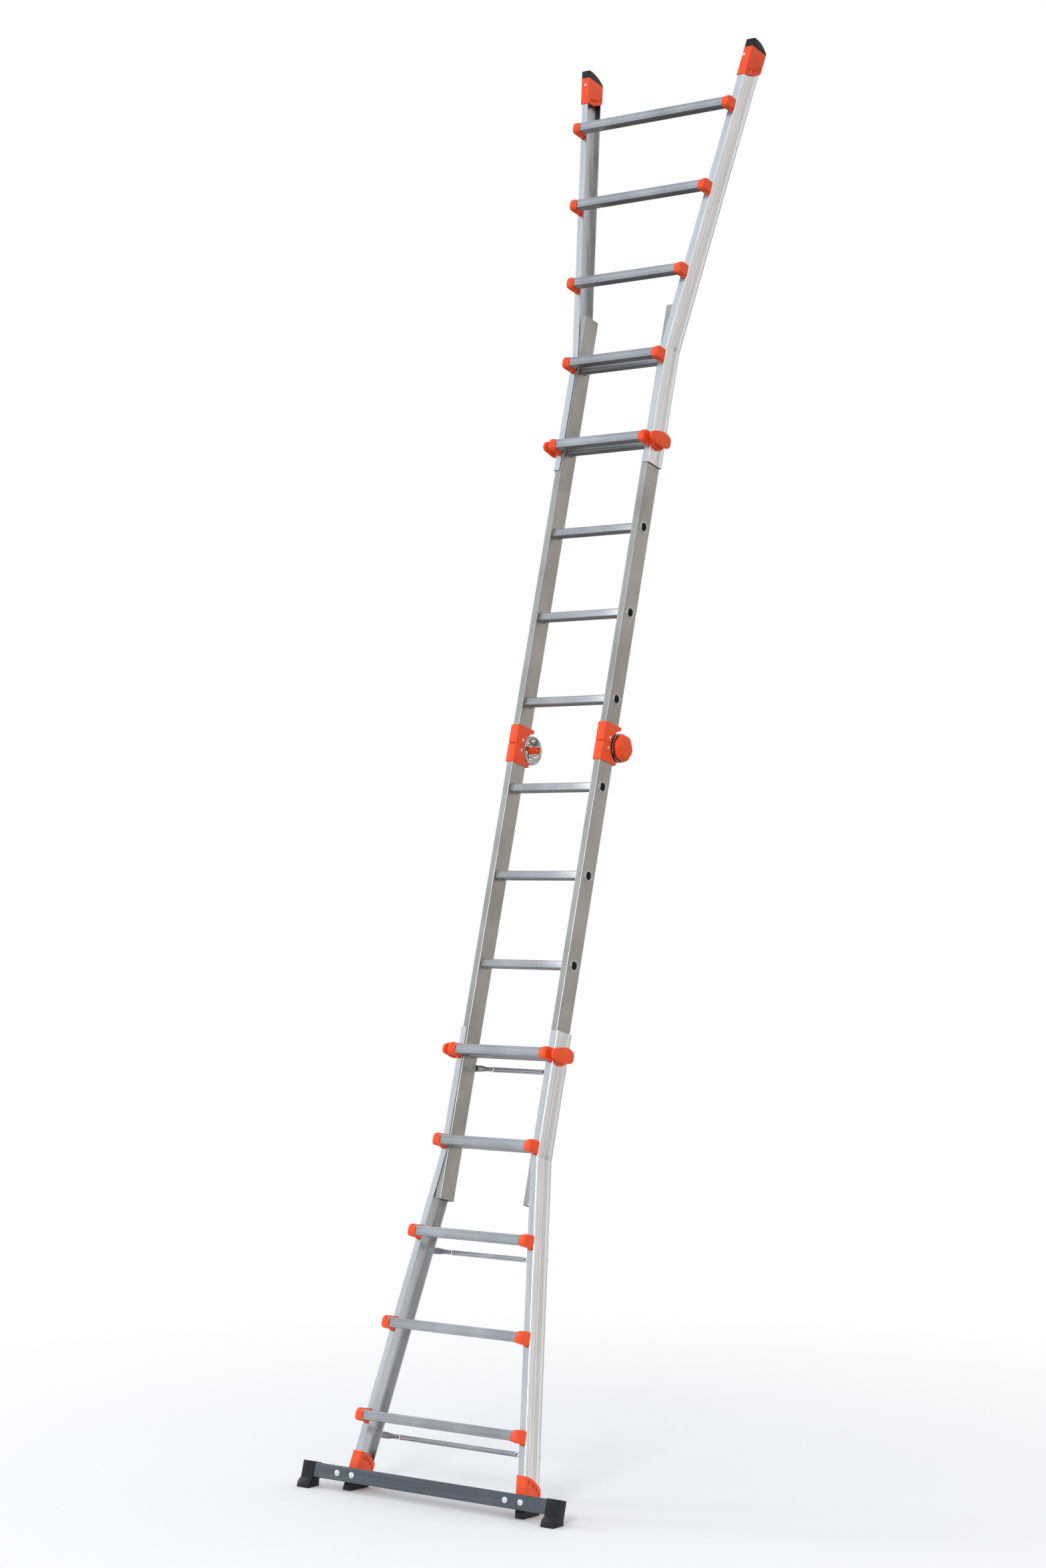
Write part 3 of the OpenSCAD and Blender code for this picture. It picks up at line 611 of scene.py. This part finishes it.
def brace_rod(bm, z, steps=28):
    """Tube that goes over into flat spade ends."""
    # distance inboard of the rod's end, half height, half depth
    sizes = ((0, 9.0, 1.7), (2, 10.0, 1.9), (22, 10.0, 1.9), (34, 9.8, 2.0), (42, 9.4, 2.4),
             (50, 8.4, 3.4), (60, 7.0, 5.0), (70, 6.8, 6.2), (80, 7.4, 7.2), (88, 7.9, 7.6),
             (98, 7.9, 7.7), (112, 7.6, 7.7))
    half = [(rail_mid(z) + 8 - d, h, g) for d, h, g in sizes]
    plan = [(-u, h, g) for u, h, g in half] + list(reversed(half))
    rows = []
    for u, h, g in plan:
        power = 0.55 if g < 2.5 else 1.0
        ring = []
        for a in circle(steps):
            c, s = math.cos(a), math.sin(a)
            ring.append(at(u, ROD_FRONT + g + g * math.copysign(abs(c) ** power, c),
                           -z + h * math.copysign(abs(s) ** power, s)))
        rows.append(ring)
    loft(bm, rows)


def brace_rods():
    rods, eyelets, eyelet_shade_plugs = bmesh.new(), bmesh.new(), bmesh.new()
    ring = [(3.2, 72.2), (3.4, 69.4), (4.4, 69.0), (6.6, 70.0), (7.4, 72.2), (7.0, 73.4)]
    # painted shade: a near-black plug inside each eyelet stands in for the shade in its hole
    plug = [(0, 69.8), (3.3, 69.8), (3.3, 71.5), (0, 71.5)]
    for z in BRACE_ROWS:
        brace_rod(rods, z)
        for side in SIDES:
            u = side * (rail_mid(z) - LIP_W / 2 - 64)
            front_lathe(eyelets, ring, u, -z)
            front_lathe(eyelet_shade_plugs, plug, u, -z, 20)
    finish_mesh(rods, "spade_ended_rods", "rod", "lower_outer", ("brace_rods",), smooth=45.0)
    finish_mesh(eyelets, "rod_eyelets", "zinc", "lower_outer", smooth=45.0)
    finish_mesh(eyelet_shade_plugs, "rod_eyelet_shade_plugs", "hole_shade", "lower_outer", smooth=45.0)


# ---------------------------------------------------------------- hinge

KNOB_R = 40.9
KNOB_SHOULDER, KNOB_TOP = 196.5, 206.0


def knob_radius(a):
    """Six shallow lobes, with a slight notch between them."""
    return KNOB_R + 1.0 * math.cos(6 * a) - 0.9 * max(0.0, -math.cos(6 * a)) ** 4


def knob_height(a, rho):
    """Crowned face with three curved grips and a line beside each."""
    crown = KNOB_SHOULDER + (KNOB_TOP - 196.9) * (1 - rho ** 4.5) ** 0.6
    phase = 3 * a - 3.4 * rho + 0.6
    grip = 1.5 * max(0.0, math.sin(phase)) ** 2 * math.sin(math.pi * rho ** 0.8) ** 1.1
    cut = 1.6 * max(0.0, math.sin(phase + 1.7)) ** 14 * math.sin(math.pi * rho ** 0.9)
    return min(crown + grip - cut, KNOB_TOP - 0.02)


def scalloped_knob(side):
    """Six-lobed knob with a crowned face and curved grips."""
    bm = bmesh.new()
    steps, rows = 144, 22
    centre = at(0, HINGE_V, 0)

    def point(r, a, u):
        out = BACK * math.cos(a) + UP * math.sin(a)
        return centre + ACROSS * (side * u * MM) + out * (r * MM)

    # distance out, and share of the full radius: the back, then the rim
    rim = ((187.4, 0.5), (189.0, 0.52), (189.1, 0.93), (189.8, 0.975), (191.5, 1.0),
           (KNOB_SHOULDER, 1.0))
    rings = [[point(knob_radius(a) * k, a, u) for a in circle(steps)] for u, k in rim]
    for i in range(1, rows):
        rho = math.cos(math.pi / 2 * i / rows)
        rings.append([point(knob_radius(a) * rho, a, knob_height(a, rho)) for a in circle(steps)])
    loft(bm, rings)
    name = end_name(side) + "_hinge_knob"
    finish_mesh(bm, "scalloped_" + name, "orange", end_name(side) + "_hinge_release", (name,),
                smooth=50.0)


def around_hinge(r, k):
    """(v, w) of the k-th of six places on a circle about the hinge."""
    a = math.radians(30 + 60 * k)
    return HINGE_V + r * math.cos(a), r * math.sin(a)


def hinge_dishes():
    bm = bmesh.new()
    dish = [(14.1, 171.5), (14.1, 169.4), (17.0, 169.2), (20.0, 168.2), (26, 165.4), (33, 161.8),
            (38.5, 159.6), (41.5, 159.0), (43.8, 158.9), (45.1, 159.3), (DISC_R, 160.2),
            (DISC_R, 164.6), (44.9, 165.0), (43.4, 165.0), (43.0, 164.4), (42.8, 161.8), (39, 161.6),
            (19.5, 171.3), (14.1, 171.5)]
    arm = rounded(6, 60, 3, 120, (3, 3, 3, 3), 3)
    for side in SIDES:
        across_lathe(bm, dish, HINGE_V, 0, side, 96)
        loft(bm, [[at(side * u, v, w) for v, w in arm] for u in (161, 165)])
    finish_mesh(bm, "pressed_dishes", "chrome", "upper_inner", ("upper_hinge_dishes",), smooth=30.0)
    bm = bmesh.new()
    dimple = [(0, 157.6), (2.4, 157.9), (4.6, 158.8), (6.4, 160.4), (7.9, 162.6), (8.9, 164.8),
              (9.2, 166.0)]
    for side in SIDES:
        for k in range(6):
            v, w = around_hinge(30.5, k)
            across_lathe(bm, dimple, v, w, side, 28)
    # painted highlight: the dimples are pressed in the dish's own steel but take the brighter zinc so
    # that they read bright
    finish_mesh(bm, "dish_dimples_painted_highlight", "zinc", "upper_inner", smooth=60.0)


def release_plate(side):
    """Plate under the knob, six pins, and the screw in the spindle's inner end."""
    bm = bmesh.new()
    plate = [(SPINDLE_R, 187.0), (SPINDLE_R, 184.5), (44.6, 184.5), (DISC_R, 185.2),
             (DISC_R, 186.3), (44.6, 187.0), (SPINDLE_R, 187.0)]
    pin = [(0, 176), (2.4, 176), (3, 176.8), (3, 184.5), (0, 184.5)]
    screw = [(0, 139.6), (1.6, 139.8), (4.2, 140.6), (6.0, 142.0), (6.4, 143.6), (3.2, 143.8),
             (3.2, 149.0), (0, 149.0)]
    across_lathe(bm, plate, HINGE_V, 0, side, 96)
    for k in range(6):
        v, w = around_hinge(29, k)
        across_lathe(bm, pin, v, w, side, 20)
    across_lathe(bm, screw, HINGE_V, 0, side, 28)
    end = end_name(side)
    finish_mesh(bm, end + "_plate_and_pins", "chrome", end + "_hinge_release",
                (end + "_release_plate",), smooth=30.0)


def spindle(side):
    bm = bmesh.new()
    profile = [(0, 187), (SPINDLE_R, 187), (SPINDLE_R, 169.5), (SPINDLE_R, 163.0), (11.0, 158.0),
               (10.4, 152.0), (10.4, 143.0), (11.2, 141.2), (SPINDLE_R, 139.6), (11.1, 137.6),
               (10.0, 137.0), (8.9, 137.3), (8.3, 138.2), (8.2, 149.0), (0, 149.0)]
    across_lathe(bm, profile, HINGE_V, 0, side)
    end = end_name(side)
    finish_mesh(bm, end + "_spindle_turned", "orange", end + "_hinge_release",
                (end + "_hinge_spindle",), smooth=40.0)


def housing_rivets(section, w_sign):
    bm = bmesh.new()
    profile = [(0, 154.3), (2.4, 154.4), (4.2, 154.8), (5.0, 155.5), (3.0, 155.6), (3.0, 185.4),
               (5.0, 185.5), (4.2, 186.2), (2.4, 186.6), (0, 186.7)]
    for side in SIDES:
        across_lathe(bm, profile, 30, w_sign * 16, side, 28)
    finish_mesh(bm, section + "_domed_rivets", "zinc", section + "_inner",
                (section + "_housing_rivets",), smooth=50.0)


# ---------------------------------------------------------------- slide locks

def lock_line(section, side):
    """Seam that sweeps over the wing from its top front corner to its back edge, drawn in darker orange
    as painted shade.
    """
    bm = bmesh.new()
    w0 = FIRST if section == "upper" else -FIRST
    last, front, length = 24, -29, 84
    path = []
    for i in range(last + 1):
        k = i / last
        path.append((front + length * k, 12.5 - 25 * math.sin(math.pi * k ** 0.8) * 0.36 + 3.5 * k ** 3))
    rings = []
    for i, (v, w) in enumerate(path):
        a, b = path[max(i - 1, 0)], path[min(i + 1, last)]
        along = Vector((b[0] - a[0], b[1] - a[1])).normalized()
        thick = 0.75 if 0 < i < last else 0.1
        ring = []
        for t in circle(8):
            off = thick * math.cos(t)
            ring.append(at(side * (215.7 + 0.28 * math.sin(t)), v - along.y * off,
                           w0 + w + along.x * off))
        rings.append(ring)
    loft(bm, rings)
    end = end_name(side)
    finish_mesh(bm, "%s_%s_wing_seam" % (section, end), "shade", "%s_%s_lock" % (section, end),
                smooth=60.0)


# ---------------------------------------------------------------- bolts and screws

def boot_screws(section, w_sign):
    bm = bmesh.new()
    profile = [(0, -7.9), (2.4, -7.7), (4.2, -7.0), (5.0, -6.0), (2.0, -5.9), (2.0, 1.0), (0, 1.4)]
    for u in SCREWS:
        front_lathe(bm, profile, u, w_sign * SCREW_W, 28)
    finish_mesh(bm, section + "_domed_screws", "zinc", section + "_outer",
                (section + "_boot_screws",), smooth=50.0)


def bar_bolts():
    bm = bmesh.new()
    bolt = [(0, -42.0), (2.5, -41.8), (5.0, -41.2), (7.4, -40.2), (9.2, -38.8), (10.0, -37.0),
            (4, -36.9), (4, 83.9), (3.4, 84.7), (0, 84.7)]
    nut_r = 7.5
    nut = [(nut_r * math.cos(a), nut_r * math.sin(a))
           for a in (math.radians(60 * i) for i in range(6))]
    for side in SIDES:
        for u in BAR_BOLTS:
            front_lathe(bm, bolt, side * u, -BAR_W, 36)
            loft(bm, [[at(side * u + x * k, v, -BAR_W + y * k) for x, y in nut]
                      for v, k in ((76.7, 0.98), (77.2, 1.0), (82.0, 1.0), (82.7, 0.93))])
    finish_mesh(bm, "carriage_bolts", "zinc", "lower_outer", ("bar_bolts",), smooth=40.0)


# ---------------------------------------------------------------- making every piece

for section, w_sign in (("lower", -1), ("upper", 1)):
    outer, inner = section + "_outer", section + "_inner"
    for side in SIDES:
        outer_rail(section, side, w_sign)
        lock = "%s_%s_lock" % (section, end_name(side))
        softened("soft_" + lock, lock + "_knob", "orange", lock, 2.0, 4)
        lock_line(section, side)
    for number in range(1, RUNGS + 1):
        outer_rung(section, number, w_sign)
    rung_caps(section, w_sign)
    boot_screws(section, w_sign)
    rung_ends(section, w_sign)
    housing_rivets(section, w_sign)
    softened(section + "_boots_moulded", section + "_boots", "orange", outer, 1.2)
    softened(section + "_housings_moulded", section + "_hinge_housings", "orange", inner, 1.3)
    softened(section + "_lock_bosses", section + "_lock_bushes", "orange", outer, 2.0)
    softened(section + "_inner_rungs_swaged", section + "_inner_rungs", "rung_in", inner, 0.5, 2)

softened("rubber_feet", "lower_feet", "rubber", "lower_outer", 2.2)
softened("rubber_end_caps", "upper_end_caps", "rubber", "upper_outer", 2.2)
softened("bar_feet_moulded", "bar_feet", "rubber", "lower_outer", 2.0)
softened("bar_tube_painted", "stabiliser_bar", "slate", "lower_outer", 0.6, 2)
brace_rods()
bar_bolts()
hinge_dishes()
softened("lower_discs_eased", "lower_hinge_discs", "chrome", "lower_inner", 0.4, 2)
for side in SIDES:
    scalloped_knob(side)
    release_plate(side)
    spindle(side)

KEPT = {
    "inner": ("lower_left_inner_rail", "lower_right_inner_rail",
              "upper_left_inner_rail", "upper_right_inner_rail"),
    "zinc": ("lower_rung_rivets", "upper_rung_rivets", "bar_clamps", "brace_rivets",
             "hinge_bushes", "lower_left_lock_pin", "lower_right_lock_pin",
             "upper_left_lock_pin", "upper_right_lock_pin"),
}
for look, names in KEPT.items():
    for name in names:
        for s in frame["nodes"][name].material_slots:
            s.material = MAT[look]

# ---------------------------------------------------------------- floor, light and camera

scene = bpy.context.scene
scene.view_settings.view_transform = "Standard"


def pale_floor(radius=4.0):
    """Disc that fades out towards its rim."""
    mat, tree, shader = new_material("pale_floor")
    coord = node(tree, "ShaderNodeTexCoord").outputs["Object"]
    fade = node(tree, "ShaderNodeTexGradient", gradient_type="SPHERICAL")
    tree.links.new(stretched(tree, coord, grey(1 / radius)), fade.inputs["Vector"])
    tint = ramp(tree, noise(tree, coord, 40.0), [(0.3, grey(0.93)), (0.7, grey(0.95))])
    tree.links.new(tint, shader.inputs["Base Color"])
    shader.inputs["Roughness"].default_value = 0.75
    tree.links.new(spread(tree, fade.outputs["Fac"], 0.0, 1.0, 0.08, 0.80), shader.inputs["Alpha"])
    bm = bmesh.new()
    bmesh.ops.create_circle(bm, cap_ends=True, radius=radius, segments=96)
    mesh = bpy.data.meshes.new("floor")
    bm.to_mesh(mesh)
    bm.free()
    floor = bpy.data.objects.new("floor", mesh)
    mesh.materials.append(mat)
    scene.collection.objects.link(floor)
    floor.location = (0, 0.2, cad_low[2] - 0.001)


def studio_world():
    """White behind the ladder; what lights it is darker below and brighter to one side."""
    world = bpy.data.worlds.new("studio")
    scene.world = world
    world.use_nodes = True
    tree = world.node_tree
    tree.nodes.clear()
    out = node(tree, "ShaderNodeOutputWorld")
    lit = node(tree, "ShaderNodeBackground")
    seen = node(tree, "ShaderNodeBackground")
    seen.inputs["Color"].default_value = (1, 1, 1, 1)
    choose = node(tree, "ShaderNodeMixShader")
    path = node(tree, "ShaderNodeLightPath")
    direction = node(tree, "ShaderNodeTexCoord").outputs["Generated"]
    split = node(tree, "ShaderNodeSeparateXYZ")
    tree.links.new(direction, split.inputs["Vector"])
    toward = node(tree, "ShaderNodeVectorMath", operation="DOT_PRODUCT")
    toward.inputs[1].default_value = (-0.65, -0.76, 0.0)
    tree.links.new(direction, toward.inputs[0])
    across = spread(tree, toward.outputs["Value"], 0.0, 1.0, -1.0, 1.0)
    height = spread(tree, split.outputs["Z"], 0.0, 1.0, -1.0, 1.0)
    tone = ramp(tree, across, [(0.0, (0.86, 0.83, 0.80)), (0.45, (0.60, 0.60, 0.60)),
                               (0.75, (0.72, 0.76, 0.80)), (1.0, (0.84, 0.90, 0.97))])
    lift = ramp(tree, height, [(0.0, (0.10, 0.09, 0.08)), (0.20, (0.15, 0.14, 0.13)),
                               (0.34, (0.45, 0.44, 0.44)), (0.48, (0.92, 0.92, 0.92)),
                               (0.62, (1.0, 1.0, 1.0)), (0.80, (1.10, 1.14, 1.18)),
                               (1.0, (1.2, 1.24, 1.3))])
    patches = ramp(tree, noise(tree, direction, 2.6, detail=2.0, rough=0.5),
                   [(0.38, grey(0.78)), (0.62, grey(1.16))])
    light = multiplied(tree, multiplied(tree, tone, lift), patches)
    tree.links.new(light, lit.inputs["Color"])
    tree.links.new(path.outputs["Is Camera Ray"], choose.inputs["Fac"])
    tree.links.new(lit.outputs["Background"], choose.inputs[1])
    tree.links.new(seen.outputs["Background"], choose.inputs[2])
    tree.links.new(choose.outputs["Shader"], out.inputs["Surface"])


def area(name, place, size, power, colour):
    """Area light aimed at the middle of the ladder."""
    middle = Vector([(a + b) / 2 for a, b in zip(cad_low, cad_high)])
    data = bpy.data.lights.new(name, "AREA")
    data.shape = "RECTANGLE"
    data.size, data.size_y = size
    data.energy = power
    data.color = colour
    lamp = bpy.data.objects.new(name, data)
    scene.collection.objects.link(lamp)
    lamp.location = place
    lamp.rotation_euler = (middle - Vector(place)).to_track_quat("-Z", "Y").to_euler()


def photo_camera():
    """38.5 degrees round to the right of the climbing side, 9.7 m from the ladder's foot end."""
    place = (5.983, -7.0715, 1.9016)
    turn, pitch, roll = math.radians(38.5465), math.radians(1.2543), math.radians(-0.1717)
    data = bpy.data.cameras.new("camera")
    cam = bpy.data.objects.new("camera", data)
    scene.collection.objects.link(cam)
    data.sensor_fit = "VERTICAL"
    data.sensor_height = 36.0
    data.lens = 72.37
    data.clip_end = 200.0
    level = Vector((math.cos(turn), math.sin(turn), 0.0))
    forward = Vector((-math.sin(turn) * math.cos(pitch), math.cos(turn) * math.cos(pitch),
                      math.sin(pitch)))
    above = level.cross(forward)
    right = level * math.cos(roll) + above * math.sin(roll)
    up = right.cross(forward)
    rows = [(right[i], up[i], -forward[i], place[i]) for i in range(3)]
    cam.matrix_world = Matrix(rows + [(0, 0, 0, 1)])
    scene.camera = cam


pale_floor()
studio_world()
area("key", (3.4, -8.4, 5.4), (2.6, 2.6), 330, (1.0, 0.99, 0.98))
area("side", (-6.0, -1.5, 3.4), (1.2, 4.5), 90, (0.95, 0.98, 1.0))
photo_camera()
